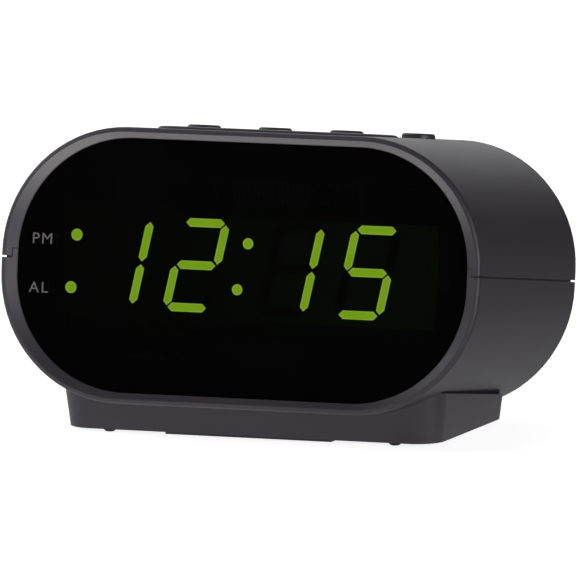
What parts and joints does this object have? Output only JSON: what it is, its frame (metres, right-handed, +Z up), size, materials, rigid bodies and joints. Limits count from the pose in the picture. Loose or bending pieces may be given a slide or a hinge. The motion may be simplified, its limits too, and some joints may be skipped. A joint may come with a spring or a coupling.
{
  "type": "alarm clock",
  "caption": "Mains alarm clock with a leaning stadium housing on a wedge foot, lit four-digit display behind a smoked window, snooze bar, set buttons and sliding battery door.",
  "frame": {"origin": "bottom centre of the whole clock, on the table between its rubber nubs", "axes": "+X to the right seen from the front, +Y towards the back, +Z up; the housing leans back 7.6 degrees about X"},
  "size_m": [0.1238, 0.0864, 0.0758],
  "materials": {
    "housing_plastic": "satin moulded shell",
    "key_plastic": "satin moulded keys",
    "knob_plastic": "satin",
    "smoked_window": "smoked clear acrylic, polished",
    "display_plastic": "matt dark display face",
    "lit_light": "lit yellow-green diffuser",
    "unlit_light": "unlit tinted diffuser",
    "led_resin": "clear resin",
    "circuit_board": "solder mask",
    "ribbon_vinyl": "grey vinyl",
    "black_resin": "moulded",
    "capacitor_sleeve": "shrink sleeve",
    "plated_steel": "zinc plated",
    "screw_steel": "black oxide",
    "core_steel": "varnished laminations",
    "coil_tape": "polyester tape",
    "wire_vinyl": "vinyl insulation",
    "battery_can": "lacquered can",
    "nub_rubber": "matt"
  },
  "bodies": {
    "housing": {"upper_shell": "housing_plastic", "lower_shell": "housing_plastic", "window_lens": "smoked_window", "display_block": "display_plastic", "lit_segments": "lit_light", "dark_segments": "unlit_light", "led_chips": "led_resin", "display_board": "circuit_board", "ribbon_cable": "ribbon_vinyl", "main_board": "circuit_board", "clock_chip": "black_resin", "capacitors": "capacitor_sleeve", "diodes": "black_resin", "tact_switches": "black_resin", "alarm_switch": "plated_steel", "board_screws": "plated_steel", "transformer_core": "core_steel", "transformer_coil": "coil_tape", "transformer_bracket": "plated_steel", "transformer_screws": "plated_steel", "transformer_leads": "wire_vinyl", "buzzer": "black_resin", "buzzer_leads": "wire_vinyl", "backup_battery": "battery_can", "battery_snap": "black_resin", "battery_leads": "wire_vinyl", "cord_bush": "nub_rubber", "housing_screws": "screw_steel", "rubber_nubs": "nub_rubber"},
    "snooze_bar": {"snooze_bar": "key_plastic"},
    "time_button": {"time_button": "key_plastic"},
    "alarm_button": {"alarm_button": "key_plastic"},
    "hour_button": {"hour_button": "key_plastic"},
    "minute_button": {"minute_button": "key_plastic"},
    "alarm_knob": {"alarm_knob": "knob_plastic"},
    "battery_door": {"battery_door": "housing_plastic"}
  },
  "joints": [
    {"name": "snooze_bar_press", "type": "slide", "parent": "housing", "child": "snooze_bar", "axis": [0, -0.1323, -0.9912], "range_m": [0, 0.0008], "stiffness_N_per_m": 600, "springref_m": -0.0004},
    {"name": "time_button_press", "type": "slide", "parent": "housing", "child": "time_button", "axis": [0, -0.1323, -0.9912], "range_m": [0, 0.0008], "stiffness_N_per_m": 400, "springref_m": -0.0004},
    {"name": "alarm_button_press", "type": "slide", "parent": "housing", "child": "alarm_button", "axis": [0, -0.1323, -0.9912], "range_m": [0, 0.0008], "stiffness_N_per_m": 400, "springref_m": -0.0004},
    {"name": "hour_button_press", "type": "slide", "parent": "housing", "child": "hour_button", "axis": [0, -0.1323, -0.9912], "range_m": [0, 0.0008], "stiffness_N_per_m": 400, "springref_m": -0.0004},
    {"name": "minute_button_press", "type": "slide", "parent": "housing", "child": "minute_button", "axis": [0, -0.1323, -0.9912], "range_m": [0, 0.0008], "stiffness_N_per_m": 400, "springref_m": -0.0004},
    {"name": "alarm_knob_slide", "type": "slide", "parent": "housing", "child": "alarm_knob", "axis": [1, 0, 0], "range_m": [0, 0.003]},
    {"name": "battery_door_slide", "type": "slide", "parent": "housing", "child": "battery_door", "axis": [0, 1, 0], "range_m": [0, 0.05]}
  ]
}
